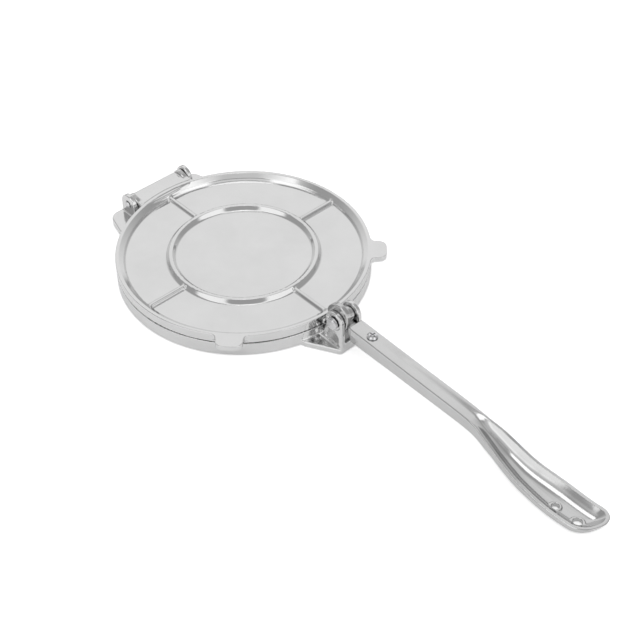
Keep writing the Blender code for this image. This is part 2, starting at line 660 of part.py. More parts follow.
def cam_outline():
    """The cam seen from the side, round the pivot: it is high above the pivot and low behind it."""
    turns = CAM_TURN_SHARES + (1,)
    radii = [share * CAM_LOBE_RADIUS for share in CAM_RADIUS_SHARES + (CAM_RADIUS_SHARES[0],)]
    outline = []
    count = 2 * ROUND_STEPS
    for i in range(count):
        radius = smooth_value(turns, radii, i / count)
        angle = 2 * math.pi * i / count
        outline.append((PIN_REACH + radius * math.cos(angle), PIN_HEIGHT + radius * math.sin(angle)))
    return outline


def lever_head(parts, cutters, material):
    """The lever's root casting: cam, hub on the pivot, and the tang that the handle sits on."""
    left = -LEFT_EAR_INSIDE + GAP
    right = RIGHT_EAR_INSIDE - GAP
    piece = link(side_slab("cam", cam_outline(), left, left + CAM_WIDTH, cutters), parts)
    hub = rod("hub", (left + CAM_WIDTH / 2, -PIN_REACH, PIN_HEIGHT), (right, -PIN_REACH, PIN_HEIGHT),
              HUB_RADIUS, cutters)
    top = HANDLE_ROOT_TOP - TANG_TOP_DROP - GAP
    tang_end = HANDLE_ROOT_REACH + TANG_LENGTH
    outline = [
        (PIN_REACH, top - TANG_HEIGHT), (tang_end, top - TANG_HEIGHT),
        (tang_end, top - TANG_LENGTH * handle_slope()),
        (HANDLE_ROOT_REACH, top), (PIN_REACH, PIN_HEIGHT - HUB_RADIUS * TANG_ROOT_SHARE),
    ]
    tang = side_slab("tang", outline, -TANG_WIDTH / 2, TANG_WIDTH / 2, cutters)
    combine(piece, [hub, tang], "UNION")
    bore = rod(
        "head_bore", (left - OVERRUN, -PIN_REACH, PIN_HEIGHT), (right + OVERRUN, -PIN_REACH, PIN_HEIGHT),
        PIN_RADIUS + BORE_PLAY, cutters,
    )
    combine(piece, [bore, screw_hole(cutters)], "DIFFERENCE")
    piece.name = "lever_head"
    return finish(piece, material, (0, -PIN_REACH, PIN_HEIGHT))


def handle_slope():
    """How far the handle's top falls for each length, near the root."""
    place = SCREW_PLACE / HANDLE_LENGTH
    return HANDLE_FALL * smooth_value(FALL_PLACE_SHARES, FALL_SHARES, place) / SCREW_PLACE


def screw_frame():
    """Places the screw, drawn upright on the Z axis, square to the sloping top of the handle."""
    seat = Matrix.Translation((0, 0, handle_top(SCREW_PLACE / HANDLE_LENGTH)))
    tilt = Matrix.Rotation(math.atan(handle_slope()), 4, "X")
    return Matrix.Translation((0, -HANDLE_ROOT_REACH - SCREW_PLACE, 0)) @ seat @ tilt @ seat.inverted()


def screw_hole(collection):
    """The cutter for the screw's hole through the handle and the tang."""
    frame = screw_frame()
    low, high = frame @ Vector((0, 0, 0)), frame @ Vector((0, 0, PIN_HEIGHT))
    return rod("screw_hole", low, high, SCREW_RADIUS + GAP, collection)


def handle_top(place):
    return HANDLE_ROOT_TOP - HANDLE_FALL * smooth_value(FALL_PLACE_SHARES, FALL_SHARES, place)


def handle_depth(place):
    share = smooth_value(DEPTH_PLACE_SHARES, DEPTH_SHARES, place)
    rise = TIP_RISE_SHARE * max(0.0, (place - 1 + TIP_SHARE) / TIP_SHARE) ** 2
    return (GRIP_DEPTH + (BAR_DEPTH - GRIP_DEPTH) * share) * (1 - rise)


def handle_centre(place):
    """The grip bends to the left of the bar's middle line."""
    return -GRIP_SHIFT * smooth_value(SHIFT_PLACE_SHARES, SHIFT_SHARES, place)


def handle_half_width(place):
    """Half the handle's width, with a round end."""
    share = smooth_value(WIDTH_PLACE_SHARES, WIDTH_SHARES, place)
    half = (BAR_WIDTH + (GRIP_WIDTH - BAR_WIDTH) * share) / 2
    start = 1 - TIP_SHARE
    if place > start:
        half *= math.sqrt(max(0.0, 1 - ((place - start) / TIP_SHARE) ** 2))
    return half


def handle_section(place):
    """The handle's closed section at a place along it, as (x, z) points."""
    half = max(handle_half_width(place), CHANNEL_WALL / 2)
    top, depth = handle_top(place), handle_depth(place)
    share = smooth_value(TROUGH_PLACE_SHARES, TROUGH_SHARES, place)
    wall = min(CHANNEL_WALL + (TROUGH_WALL - CHANNEL_WALL) * share, half / 2)
    trough_half = half - wall
    trough = TROUGH_DEPTH * max(share, GAP / TROUGH_DEPTH) * min(1.0, trough_half / (2 * TROUGH_WALL))
    trough = min(trough, depth * TROUGH_DEPTH / GRIP_DEPTH)
    corner = min(depth, half) * CORNER_SHARE
    edge = wall * WALL_EDGE_SHARE
    points = [(-half + edge, top), (-half, top - edge)]
    points += arc((-half + corner, top - depth + corner), corner, 180, 270, CORNER_STEPS)
    points += arc((half - corner, top - depth + corner), corner, 270, 360, CORNER_STEPS)
    points += [(half, top - edge), (half - edge, top)]
    for i in range(TROUGH_STEPS + 1):
        across = 1 - 2 * i / TROUGH_STEPS
        points.append((trough_half * across, top - trough * (1 - across**TROUGH_POWER)))
    centre = handle_centre(place)
    return [(centre + x, z) for x, z in points]


def handle_places():
    """Places along the handle, closer together at its round end."""
    start = 1 - TIP_SHARE
    places = [start * i / HANDLE_STEPS for i in range(HANDLE_STEPS + 1)]
    places += [start + TIP_SHARE * math.sin(math.pi / 2 * i / TIP_STEPS) for i in range(1, TIP_STEPS + 1)]
    return places


def handle(parts, cutters, material):
    """The hollow-backed bar with its dished grip and two holes."""
    bm = bmesh.new()
    rings = []
    for place in handle_places():
        y = -HANDLE_ROOT_REACH - HANDLE_LENGTH * place
        rings.append([bm.verts.new((x, y, z)) for x, z in handle_section(place)])
    for first, second in zip(rings, rings[1:]):
        for i in range(len(first)):
            j = (i + 1) % len(first)
            bm.faces.new((first[i], first[j], second[j], second[i]))
    bm.faces.new(rings[0])
    bm.faces.new(list(reversed(rings[-1])))
    bmesh.ops.triangulate(bm, faces=[face for face in bm.faces if len(face.verts) > 4])
    bmesh.ops.recalc_face_normals(bm, faces=bm.faces)
    mesh = bpy.data.meshes.new("handle")
    bm.to_mesh(mesh)
    bm.free()
    piece = mesh_object("handle", mesh, parts)
    bosses, bores = [], []
    for share, radius in zip(HOLE_PLACE_SHARES, HOLE_RADII):
        y = -HANDLE_ROOT_REACH - HANDLE_LENGTH * share
        floor = handle_top(share) - TROUGH_DEPTH
        low = handle_top(share) - handle_depth(share) + GAP
        centre = handle_centre(share) - HOLE_SHIFT
        bosses.append(rod("boss", (centre, y, low), (centre, y, floor + HOLE_BOSS_HEIGHT),
                          radius + HOLE_BOSS_WALL, cutters))
        bores.append(rod("hole", (centre, y, low - BAR_DEPTH), (centre, y, floor + BAR_DEPTH), radius,
                         cutters))
    combine(piece, bosses, "UNION")
    side = TANG_WIDTH / 2 + GAP
    roof = HANDLE_ROOT_TOP - SOCKET_ROOF
    socket_end = HANDLE_ROOT_REACH + TANG_LENGTH + GAP
    outline = [
        (HANDLE_ROOT_REACH - OVERRUN, -OVERRUN), (socket_end, -OVERRUN),
        (socket_end, roof - (socket_end - HANDLE_ROOT_REACH) * handle_slope()),
        (HANDLE_ROOT_REACH - OVERRUN, roof + OVERRUN * handle_slope()),
    ]
    bores.append(side_slab("socket", outline, -side, side, cutters))
    bores.append(screw_hole(cutters))
    combine(piece, bores, "DIFFERENCE")
    return finish(piece, material, (0, -PIN_REACH, PIN_HEIGHT))


def handle_screw(parts, cutters, material):
    """The cross-recessed screw that holds the handle on the tang."""
    seat = handle_top(SCREW_PLACE / HANDLE_LENGTH) + GAP
    length = SOCKET_ROOF + TANG_HEIGHT
    head, radius = SCREW_HEAD_RADIUS, SCREW_RADIUS
    high = seat + SCREW_HEAD_HEIGHT
    profile = [(0, high)]
    for share, drop in zip(SCREW_DOME_RADIUS_SHARES, SCREW_DOME_DROP_SHARES):
        profile.append((head * share, high - SCREW_HEAD_HEIGHT * drop))
    profile += [(head - EDGE_ROUND, high - SCREW_HEAD_HEIGHT * SCREW_RIM_SHARE), (head, seat + EDGE_ROUND)]
    profile.append((head, seat))
    profile += [(radius, seat), (radius, seat - length), (0, seat - length)]
    piece = turned("handle_screw", profile, parts, ROUND_STEPS)
    reach = head * SCREW_RECESS_SHARE
    half = SCREW_RECESS_WIDTH / 2
    low, top = high - SCREW_RECESS_DEPTH, high + OVERRUN
    cross = [
        box("slot_across", (-reach, -half, low), (reach, half, top), cutters),
        box("slot_along", (-half, -reach, low), (half, reach, top), cutters),
    ]
    combine(piece, cross, "DIFFERENCE")
    piece.data.transform(screw_frame())
    return finish(piece, material, (0, -PIN_REACH, PIN_HEIGHT))


def main():
    clear_scene()
    parts = new_collection("tortilla_press")
    cutters = new_collection("cutters")
    cutters.hide_render = True
    base_plate(parts, cutters, new_material("base_aluminium", ALUMINIUM))
    top_plate(parts, cutters, new_material("top_aluminium", ALUMINIUM))
    lever_head(parts, cutters, new_material("head_aluminium", DARKER_ALUMINIUM))
    handle(parts, cutters, new_material("handle_aluminium", ALUMINIUM))
    handle_screw(parts, cutters, new_material("screw_steel", STEEL))
    lever_pin(parts, new_material("lever_pin_steel", STEEL))
    for side in (-1, 1):
        hinge_pin(side, parts, new_material(f"hinge_pin_steel_{side}", STEEL))


main()
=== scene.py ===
import math

import bmesh
import bpy
import numpy as np
from mathutils import Matrix, Vector


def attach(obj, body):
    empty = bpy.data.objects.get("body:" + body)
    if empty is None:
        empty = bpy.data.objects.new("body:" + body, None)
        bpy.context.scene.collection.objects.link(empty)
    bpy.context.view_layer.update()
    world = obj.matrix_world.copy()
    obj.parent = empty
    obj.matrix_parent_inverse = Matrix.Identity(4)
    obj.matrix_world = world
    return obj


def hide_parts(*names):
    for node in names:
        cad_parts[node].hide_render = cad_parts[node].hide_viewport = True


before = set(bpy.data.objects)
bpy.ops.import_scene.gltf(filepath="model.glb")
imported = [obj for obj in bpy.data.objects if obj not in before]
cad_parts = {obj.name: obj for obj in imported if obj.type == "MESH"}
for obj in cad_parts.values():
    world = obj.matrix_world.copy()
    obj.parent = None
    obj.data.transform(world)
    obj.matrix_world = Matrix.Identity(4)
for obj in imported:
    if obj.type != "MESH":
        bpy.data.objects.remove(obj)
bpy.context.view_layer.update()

MM = 0.001

# The shapes below are drawn in millimetres in the row frame: +Z up, +X to the right. "reach" is the
# distance from the plates' middle towards the lever's end, which is -Y.

PLATE_R = 100.0
BASE_TOP = 12.0
UNDER = 12.3  # the top plate's underside
FLOOR = 15.1  # the top plate's flats
CLOSED = 20.5  # the lip's crest with the press closed
PIN_REACH, PIN_Z, PIN_BORE = 115.2, 26.3, 2.8
HINGE_Y, HINGE_Z, HINGE_BORE = 110.0, 16.3, 2.3
SCREW_BORE = 2.3

# Spans across the press. The rear ones are measured from the middle and lie on both sides.
LEFT_EAR, RIGHT_EAR = (-11.7, -7.9), (5.0, 8.8)
CAM_SPAN, HUB_SPAN, TANG_SPAN = (-7.6, -3.4), (-6.0, 4.7), (-4.0, 4.0)
KNUCKLES, REAR_EARS = (21.8, 26.2), (26.5, 30.5)


# Distance fields: each shape is a function of arrays x, y, z that is below 0 inside the metal

def smin(a, b, k):
    """The union of two shapes with a fillet of about k in the corner between them."""
    h = np.clip(0.5 + 0.5 * (b - a) / k, 0, 1)
    return b + (a - b) * h - k * h * (1 - h)


def smax(a, b, k):
    """What two shapes share, with the edge between them rounded by about k."""
    return -smin(-a, -b, k)


def cut(a, b, k):
    """a without b, with the edges rounded by about k."""
    return -smin(-a, b, k)


def round_max(a, b, r):
    """The edge between two faces rounded by a true radius r."""
    outside = np.hypot(np.maximum(r + a, 0), np.maximum(r + b, 0))
    return np.minimum(-r, np.maximum(a, b)) + outside


def round_min(a, b, r):
    """The corner between two faces filled by a true radius r."""
    return -round_max(-a, -b, r)


class Outline:
    """The signed distance from a closed outline, kept on a fine grid and read off by interpolation."""

    def __init__(self, points, step=0.2, margin=24.0):
        points = np.array(points, float)
        low, high = points.min(0) - margin, points.max(0) + margin
        self.low, self.step = low, step
        us = np.arange(low[0], high[0] + step, step)
        vs = np.arange(low[1], high[1] + step, step)
        u, v = np.meshgrid(us, vs, indexing="ij")
        best = np.full(u.shape, 1e9)
        inside = np.zeros(u.shape, bool)
        for (x0, y0), (x1, y1) in zip(points, np.roll(points, -1, 0)):
            dx, dy = x1 - x0, y1 - y0
            length = dx * dx + dy * dy
            if length < 1e-12:
                continue
            t = np.clip(((u - x0) * dx + (v - y0) * dy) / length, 0, 1)
            best = np.minimum(best, (u - x0 - t * dx) ** 2 + (v - y0 - t * dy) ** 2)
            if dy:
                crosses = (y0 > v) != (y1 > v)
                inside ^= crosses & (u < (v - y0) * dx / dy + x0)
        self.table = np.where(inside, -1.0, 1.0) * np.sqrt(best)

    def __call__(self, u, v):
        a = np.clip((u - self.low[0]) / self.step, 0, self.table.shape[0] - 1.001)
        b = np.clip((v - self.low[1]) / self.step, 0, self.table.shape[1] - 1.001)
        i, j = a.astype(int), b.astype(int)
        a, b = a - i, b - j
        t = self.table
        low = t[i, j] * (1 - a) + t[i + 1, j] * a
        high = t[i, j + 1] * (1 - a) + t[i + 1, j + 1] * a
        return low * (1 - b) + high * b


def disc(u, v, cu, cv, r):
    """A disc of radius r about (cu, cv)."""
    return np.hypot(u - cu, v - cv) - r


def slab(d, w, low, high, r):
    """A flat outline's distance d extruded along w, with its edges rounded by r."""
    return round_max(d, np.abs(w - (low + high) / 2) - (high - low) / 2, r)


def rect(u, v, u0, u1, v0, v1, r):
    """A rectangle from u0 to u1 and from v0 to v1, with corners of radius r."""
    a = np.abs(u - (u0 + u1) / 2) - (u1 - u0) / 2 + r
    b = np.abs(v - (v0 + v1) / 2) - (v1 - v0) / 2 + r
    return np.hypot(np.maximum(a, 0), np.maximum(b, 0)) + np.minimum(np.maximum(a, b), 0) - r


# Meshing

NUDGES = 4  # steps that move the points on to the surface
PROBE = 0.05  # mm between the places that a normal is read from


def surface(field, low, high, step):
    """The zero surface of a field as points and quads, with the points moved on to the true surface."""
    axes = [np.arange(low[i] - step * 1.5, high[i] + step * 2.5, step) for i in range(3)]
    x, y, z = np.meshgrid(*axes, indexing="ij", sparse=False)
    values = field(x.ravel(), y.ravel(), z.ravel()).reshape(x.shape)
    inside = values < 0
    cells = np.zeros([n - 1 for n in values.shape], np.int8)
    for di in (0, 1):
        for dj in (0, 1):
            for dk in (0, 1):
                size = cells.shape
                cells += inside[di:di + size[0], dj:dj + size[1], dk:dk + size[2]]
    mixed = (cells > 0) & (cells < 8)
    index = np.full(cells.shape, -1, np.int64)
    where = np.argwhere(mixed)
    index[mixed] = np.arange(len(where))
    total, count = np.zeros((len(where), 3)), np.zeros(len(where))
    corners = [(a, b, c) for a in (0, 1) for b in (0, 1) for c in (0, 1)]
    for a in corners:
        for axis in range(3):
            if a[axis]:
                continue
            b = tuple(v + (n == axis) for n, v in enumerate(a))
            va = values[where[:, 0] + a[0], where[:, 1] + a[1], where[:, 2] + a[2]]
            vb = values[where[:, 0] + b[0], where[:, 1] + b[1], where[:, 2] + b[2]]
            crossing = (va < 0) != (vb < 0)
            t = np.where(crossing, va / np.where(crossing, va - vb, 1), 0)
            point = where + np.array(a, float)
            point[:, axis] += t
            total[crossing] += point[crossing]
            count += crossing
    points = total / count[:, None] * step + np.array([axis[0] for axis in axes])
    quads = []
    for axis in range(3):
        one, two = [n for n in range(3) if n != axis]
        first = [slice(1, -1)] * 3
        first[axis] = slice(0, -1)
        second = list(first)
        second[axis] = slice(1, None)
        a, b = inside[tuple(first)], inside[tuple(second)]
        for sign, found in ((1, a & ~b), (-1, ~a & b)):
            base = np.argwhere(found)
            base[:, one] += 1
            base[:, two] += 1
            shifted = []
            for d1, d2 in ((-1, -1), (0, -1), (0, 0), (-1, 0)):
                c = base.copy()
                c[:, one] += d1
                c[:, two] += d2
                shifted.append(index[c[:, 0], c[:, 1], c[:, 2]])
            quad = np.stack(shifted, 1)
            if (sign == -1) != (axis == 1):
                quad = quad[:, ::-1]
            quads.append(quad)
    quads = np.concatenate(quads)
    for _ in range(NUDGES):
        value, slope = gradient(field, points, step / 8)
        move = -value[:, None] * slope / np.maximum((slope**2).sum(1), 0.25)[:, None]
        length = np.linalg.norm(move, axis=1, keepdims=True)
        points = points + move * np.minimum(1, step * 0.4 / np.maximum(length, 1e-9))
    return points, quads


def gradient(field, points, e):
    """The field's value and slope at points, read over a distance of e to either side."""
    x, y, z = points.T
    value = field(x, y, z)
    gx = field(x + e, y, z) - field(x - e, y, z)
    gy = field(x, y + e, z) - field(x, y - e, z)
    gz = field(x, y, z + e) - field(x, y, z - e)
    return value, np.stack([gx, gy, gz], 1) / (2 * e)


def cast_piece(name, field, low, high, step, keep, body, replaced, material):
    """Meshes a field, thins the mesh where it is flat, and gives it the field's own normals."""
    points, quads = surface(field, low, high, step)
    mesh = bpy.data.meshes.new(name)
    mesh.from_pydata(points * MM, [], quads.tolist())
    obj = bpy.data.objects.new(name, mesh)
    bpy.context.scene.collection.objects.link(obj)
    if keep < 1:
        thin = obj.modifiers.new("thin", "DECIMATE")
        thin.ratio = keep
        graph = bpy.context.evaluated_depsgraph_get()
        mesh = bpy.data.meshes.new_from_object(obj.evaluated_get(graph))
        obj.modifiers.clear()
        obj.data = mesh
    at = np.empty(len(mesh.vertices) * 3)
    mesh.vertices.foreach_get("co", at)
    at = at.reshape(-1, 3) / MM
    value, slope = gradient(field, at, PROBE)
    length = np.maximum(np.linalg.norm(slope, axis=1), 1e-9)
    at -= np.clip(value / length, -PROBE, PROBE)[:, None] * slope / length[:, None]
    mesh.vertices.foreach_set("co", (at * MM).ravel())
    mesh.shade_smooth()
    slope = gradient(field, at, PROBE)[1]
    slope /= np.maximum(np.linalg.norm(slope, axis=1), 1e-9)[:, None]
    mesh.normals_split_custom_set_from_vertices(slope.tolist())
    mesh.update()
    mesh.materials.append(material)
    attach(obj, body)
    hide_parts(*replaced)
    return obj


# Outlines

def rounded(points, radii, steps=8):
    """A polygon with each corner rounded by its own radius."""
    result = []
    count = len(points)
    for i, (x, y) in enumerate(points):
        corner = Vector((x, y))
        before = (Vector(points[i - 1]) - corner).normalized()
        after = (Vector(points[(i + 1) % count]) - corner).normalized()
        if radii[i] <= 0:
            result.append((x, y))
            continue
        half = before.angle(after) / 2
        middle = corner + (before + after).normalized() * (radii[i] / math.sin(half))
        start = corner + before * (radii[i] / math.tan(half)) - middle
        end = corner + after * (radii[i] / math.tan(half)) - middle
        sweep = start.angle_signed(end)
        first = math.atan2(start.y, start.x)
        for k in range(steps + 1):
            angle = first - sweep * k / steps
            result.append((middle.x + radii[i] * math.cos(angle),
                           middle.y + radii[i] * math.sin(angle)))
    return result


def arc(centre, radius, start, end, steps=16):
    """Points on a circle from one angle to another, in degrees."""
    turns = [math.radians(start + (end - start) * i / steps) for i in range(steps + 1)]
    return [(centre[0] + radius * math.cos(t), centre[1] + radius * math.sin(t)) for t in turns]


def curve(places, values, place):
    """A smooth curve through values at places, read at an array of places."""
    places, values = np.array(places, float), np.array(values, float)
    slope = np.diff(values) / np.diff(places)
    before, after = slope[:-1], slope[1:]
    inner = np.where(before * after > 0, 2 * before * after / (before + after + 1e-30), 0)
    tangent = np.concatenate([[slope[0]], inner, [slope[-1]]])
    place = np.clip(place, places[0], places[-1])
    i = np.clip(np.searchsorted(places, place, side="right") - 1, 0, len(places) - 2)
    width = places[i + 1] - places[i]
    t = (place - places[i]) / width
    return (
        (2 * t**3 - 3 * t**2 + 1) * values[i] + (t**3 - 2 * t**2 + t) * width * tangent[i]
        + (3 * t**2 - 2 * t**3) * values[i + 1] + (t**3 - t**2) * width * tangent[i + 1]
    )


# Top plate

RIB_HALF, RIB_TOP, RIB_ENDS = 1.5, 17.55, (58.0, 95.0)
TAB_TURN, TAB_END, TAB_HALF, TAB_UNDER = 46.2, 111.8, 10.2, 15.7
TAB_ROOT, TAB_FLARE = 84.0, 5.0
LEAF, LEAF_SPAN = (-24.0, 24.0, 94.0, 115.3, 4.5), (16.4, 20.0)
PRESS_LIP, PRESS_LIP_TOP = (-7.6, 4.7, 95.0, 104.2, 1.2), 17.1

# Points of the half section, as distance from the middle and height, with a radius for each corner
TOP_PROFILE = Outline(rounded(
    [(-30, UNDER), (-30, FLOOR), (53.2, FLOOR), (55.6, 18.45), (58.4, 18.45), (60.8, FLOOR),
     (92.4, FLOOR), (93.5, 17.6), (97.2, CLOSED), (PLATE_R, CLOSED), (PLATE_R, UNDER + 0.8),
     (PLATE_R - 1.1, UNDER)],
    (0, 0, 2.2, 0.45, 0.45, 2.2, 0.8, 0.9, 0.5, 0.45, 0.2, 0),
), step=0.1, margin=8.0)


def with_tabs(plate, x, y, z):
    """The plate with its two tabs, which flare out of the rim flush with its top."""
    r = np.hypot(x, y)
    outline, near = r - PLATE_R, np.zeros(r.shape)
    for side in (-1, 1):
        turn = math.radians(TAB_TURN) * side
        along = x * math.sin(turn) - y * math.cos(turn)
        across = x * math.cos(turn) + y * math.sin(turn)
        tab = rect(along, across, TAB_ROOT, TAB_END, -TAB_HALF, TAB_HALF, 6.0)
        outline = smin(outline, tab, TAB_FLARE)
        near = np.maximum(near, np.clip((20 - np.abs(across)) / 6, 0, 1) * (along > 0))
    band = np.maximum(slab(outline, z, TAB_UNDER, CLOSED, 0.45), 97.6 - r)
    # The fillet under a tab fades out below the top, so that the two stay flush there.
    fillet = 1.4 * near * np.clip((18.4 - z) / 2, 0, 1)
    return smin(plate, band, np.maximum(fillet, 0.01))


KNUCKLE = Outline(
    arc((-HINGE_Y, HINGE_Z), 6.6, 90, 300, 28)
    + [(-101.0, 12.9), (-95.4, 12.9), (-95.4, 19.6), (-102.6, 20.2), (-106.0, 21.8)],
    step=0.1, margin=8.0,
)


def top_field(x, y, z):
    r = np.hypot(x, y)
    plate = TOP_PROFILE(r, z)
    for along, across in ((np.abs(x), y), (np.abs(y), x)):
        rib = rect(across, z, -RIB_HALF, RIB_HALF, FLOOR - 2, RIB_TOP, 0.7)
        rib = np.maximum(rib, rect(along, z, *RIB_ENDS, 10, RIB_TOP, 0.4))
        plate = smin(plate, rib, 1.3)
    solid = with_tabs(plate, x, y, z)
    leaf = slab(rect(x, y, *LEAF), z, *LEAF_SPAN, 0.9)
    solid = smin(solid, leaf, 1.2)
    knuckle = KNUCKLE(-y, z)
    arms = slab(knuckle, np.abs(x), *KNUCKLES, 0.7)
    solid = smin(solid, arms, 0.9)
    lip = slab(rect(x, -y, *PRESS_LIP), z, UNDER, PRESS_LIP_TOP, 0.7)
    solid = smin(solid, lip, 1.2)
    bore = disc(y, z, HINGE_Y, HINGE_Z, HINGE_BORE)
    solid = cut(solid, bore, 0.4)
    return np.maximum(solid, UNDER - z)


# Base plate

FRONT_TOP, REAR_TOP = 4.7, 7.0
STOP_WALL, STOP_WALL_TOP = (-11.5, 11.5, 120.8, 124.0, 0.8), 9.0
STUD_TURN, STUD_Z, STUD_R, STUD_SPAN = 7.4, 8.35, 1.9, (96.0, 101.6)

# The half section and the plan or side outlines of what stands on the base
BASE_PROFILE = Outline(rounded(
    [(-30, 3.5), (-30, BASE_TOP), (PLATE_R, BASE_TOP), (PLATE_R, 0), (95, 0), (93.8, 3.5),
     (60.2, 3.5), (59, 0.8), (55, 0.8), (53.8, 3.5), (14.2, 3.5), (13, 0), (-13, 0), (-14.2, 3.5)],
    (0, 0, 0.25, 1.9, 0.8, 1.6, 1.6, 0.8, 0.8, 1.6, 1.6, 0.8, 0.8, 0),
), step=0.1, margin=8.0)
FRONT_FLANGE = Outline(rounded(
    [(-26.0, 90.0), (-26.0, 99.0), (-12.3, 124.0), (12.3, 124.0), (26.0, 99.0), (26.0, 90.0)],
    (0, 0, 2.0, 2.0, 0, 0)), step=0.2, margin=12.0)
REAR_FLANGE = Outline(rounded(
    [(53.0, 76.0), (53.0, 84.0), (43.0, 119.0), (-43.0, 119.0), (-53.0, 84.0), (-53.0, 76.0)],
    (0, 0, 9.0, 9.0, 0, 0)), step=0.2, margin=12.0)
FRONT_EAR = Outline(
    [(97.5, 2.3), (124.0, 2.3)] + arc((PIN_REACH, PIN_Z), 8.8, 0, 212, 28)
    + [(106.4, 19.0), (104.0, 11.2), (97.5, 8.6)], step=0.1, margin=8.0,
)
FRONT_WEB = Outline(rounded(
    [(106.2, 8.0), (119.8, 6.4), (119.8, 15.6), (114.0, 15.4), (109.0, 17.6)],
    (1.2, 1.6, 1.6, 2.0, 1.2)), step=0.1, margin=8.0)
REAR_EAR = Outline(
    [(-101.6, 3.5)] + arc((-HINGE_Y, HINGE_Z), 8.4, 0, 180, 24) + [(-118.4, 3.5)], step=0.1, margin=8.0)


def base_field(x, y, z):
    r = np.hypot(x, y)
    solid = BASE_PROFILE(r, z)
    for along in (x, y):
        rib = rect(along, z, -2.0, 2.0, 0.8, 6.0, 0.6)
        solid = smin(solid, np.maximum(rib, r - 97.0), 1.5)
    inner = 96.5 - r  # keeps the flanges out of the plate's recess
    flange = np.maximum(slab(FRONT_FLANGE(x, -y), z, 0.0, FRONT_TOP, 0.8), inner)
    solid = smin(solid, flange, 1.6)
    wall = slab(rect(x, -y, *STOP_WALL), z, 2.0, STOP_WALL_TOP, 0.7)
    solid = smin(solid, wall, 1.4)
    side = FRONT_EAR(-y, z)
    left = slab(side, x, *LEFT_EAR, 0.8)
    pocket = slab(FRONT_WEB(-y, z), x, -14.0, -10.9, 0.5)
    left = cut(left, pocket, 0.6)
    seat = slab(disc(-y, z, PIN_REACH, PIN_Z, 6.3), x, -14.0, -11.2, 0.2)
    left = cut(left, seat, 0.4)
    right = slab(side, x, *RIGHT_EAR, 0.8)
    solid = smin(smin(solid, left, 1.4), right, 1.4)
    turn = math.radians(STUD_TURN)
    along = -x * math.sin(turn) - y * math.cos(turn)
    across = x * math.cos(turn) - y * math.sin(turn)
    stud = slab(np.hypot(across, z - STUD_Z) - STUD_R, along, *STUD_SPAN, 0.6)
    solid = smin(solid, stud, 0.5)
    flange = np.maximum(slab(REAR_FLANGE(x, y), z, 0.0, REAR_TOP, 1.2), inner)
    solid = smin(solid, flange, 1.8)
    ears = slab(REAR_EAR(-y, z), np.abs(x), *REAR_EARS, 0.8)
    solid = smin(solid, ears, 1.4)
    solid = cut(solid, np.maximum(disc(-y, z, PIN_REACH, PIN_Z, PIN_BORE), np.abs(x) - 20), 0.3)
    solid = cut(solid, np.maximum(disc(y, z, HINGE_Y, HINGE_Z, HINGE_BORE), np.abs(x) - 40), 0.3)
    return np.maximum(solid, -z)


# Lever head

# The cam's radius by turn, from level towards the lever's end and upwards
CAM_R = 14.2
CAM_TURNS = (0, 25, 52, 82, 130, 158, 180, 215, 270, 325, 360)
CAM_SHARES = (0.67, 0.80, 0.97, 1.0, 0.90, 0.84, 0.73, 0.67, 0.65, 0.65, 0.67)
CAM_RADII = tuple(CAM_R * share for share in CAM_SHARES)
_turns = np.linspace(0, 360, 145)[:-1]
_radii = curve(CAM_TURNS, CAM_RADII, _turns)
CAM = Outline(
    list(zip(PIN_REACH + _radii * np.cos(np.radians(_turns)),
             PIN_Z + _radii * np.sin(np.radians(_turns)))),
    step=0.1, margin=10.0)
TANG = Outline(rounded(
    [(PIN_REACH, 12.9), (151.6, 12.9), (151.6, 19.9), (125.6, 20.9), (PIN_REACH, 23.3)],
    (0, 1.0, 1.0, 0, 0)), step=0.1, margin=10.0)


def head_field(x, y, z):
    solid = slab(CAM(-y, z), x, *CAM_SPAN, 0.8)
    hub = slab(disc(-y, z, PIN_REACH, PIN_Z, 6.0), x, *HUB_SPAN, 0.6)
    solid = smin(solid, hub, 1.6)
    tang = slab(TANG(-y, z), x, *TANG_SPAN, 0.6)
    solid = smin(solid, tang, 1.0)
    solid = cut(solid, disc(-y, z, PIN_REACH, PIN_Z, PIN_BORE), 0.3)
    return cut(solid, screw_hole(x, -y, z), 0.2)


# Handle

# A place on the handle is its share of the way from the root to the tip. Each table gives places, and
# the share of a size that holds there: the top's fall, the depth, the width, the bend and the trough.
ROOT, LENGTH = 125.6, 238.4
TOP_Z, TOP_FALL = 25.4, 18.0
DEPTH_TIP, DEPTH_GAIN = 7.0, 8.4
BAR_WIDTH, GRIP_GAIN = 13.6, 13.4
BEND = 5.6
TROUGH_DEPTH = 5.0
WALL, WALL_GAIN = 1.7, 0.9
SWELL = 2.6  # how much wider the grip is on its right side
TIP = 0.087  # the share of the length that the rounded end takes up
TIP_BACK = 3.0
SCREW_AT = 18.4
HOLES = ((0.845, 2.7, 1.6), (0.922, 3.3, 1.8))  # place, radius, width of the rim
HOLE_SHIFT = 3.5
FALL_AT = (0.0, 0.25, 0.50, 0.58, 0.66, 0.74, 0.86, 1.0)
FALL = (0.0, 0.125, 0.26, 0.44, 0.70, 0.87, 0.98, 1.0)
DEPTH_AT = (0.0, 0.18, 0.50, 0.66, 0.74, 0.86, 1.0)
DEPTH = (1.0, 0.84, 0.64, 0.38, 0.22, 0.07, 0.0)
WIDTH_AT = (0.0, 0.49, 0.53, 0.58, 0.66, 0.74, 0.83, 0.92)
WIDTH = (0.0, 0.0, 0.08, 0.38, 0.70, 0.90, 1.0, 0.93)
SHIFT_AT = (0.0, 0.46, 0.60, 0.75, 0.86, 0.92, 0.95, 0.975, 1.0)
SHIFT = (0.0, 0.0, 0.30, 0.86, 1.0, 0.90, 0.68, 0.36, -0.25)
TROUGH_AT = (0.0, 0.10, 0.14, 0.30, 0.50, 0.57, 0.66, 0.93)
TROUGH = (0.0, 0.0, 0.05, 0.17, 0.22, 0.75, 1.0, 1.0)
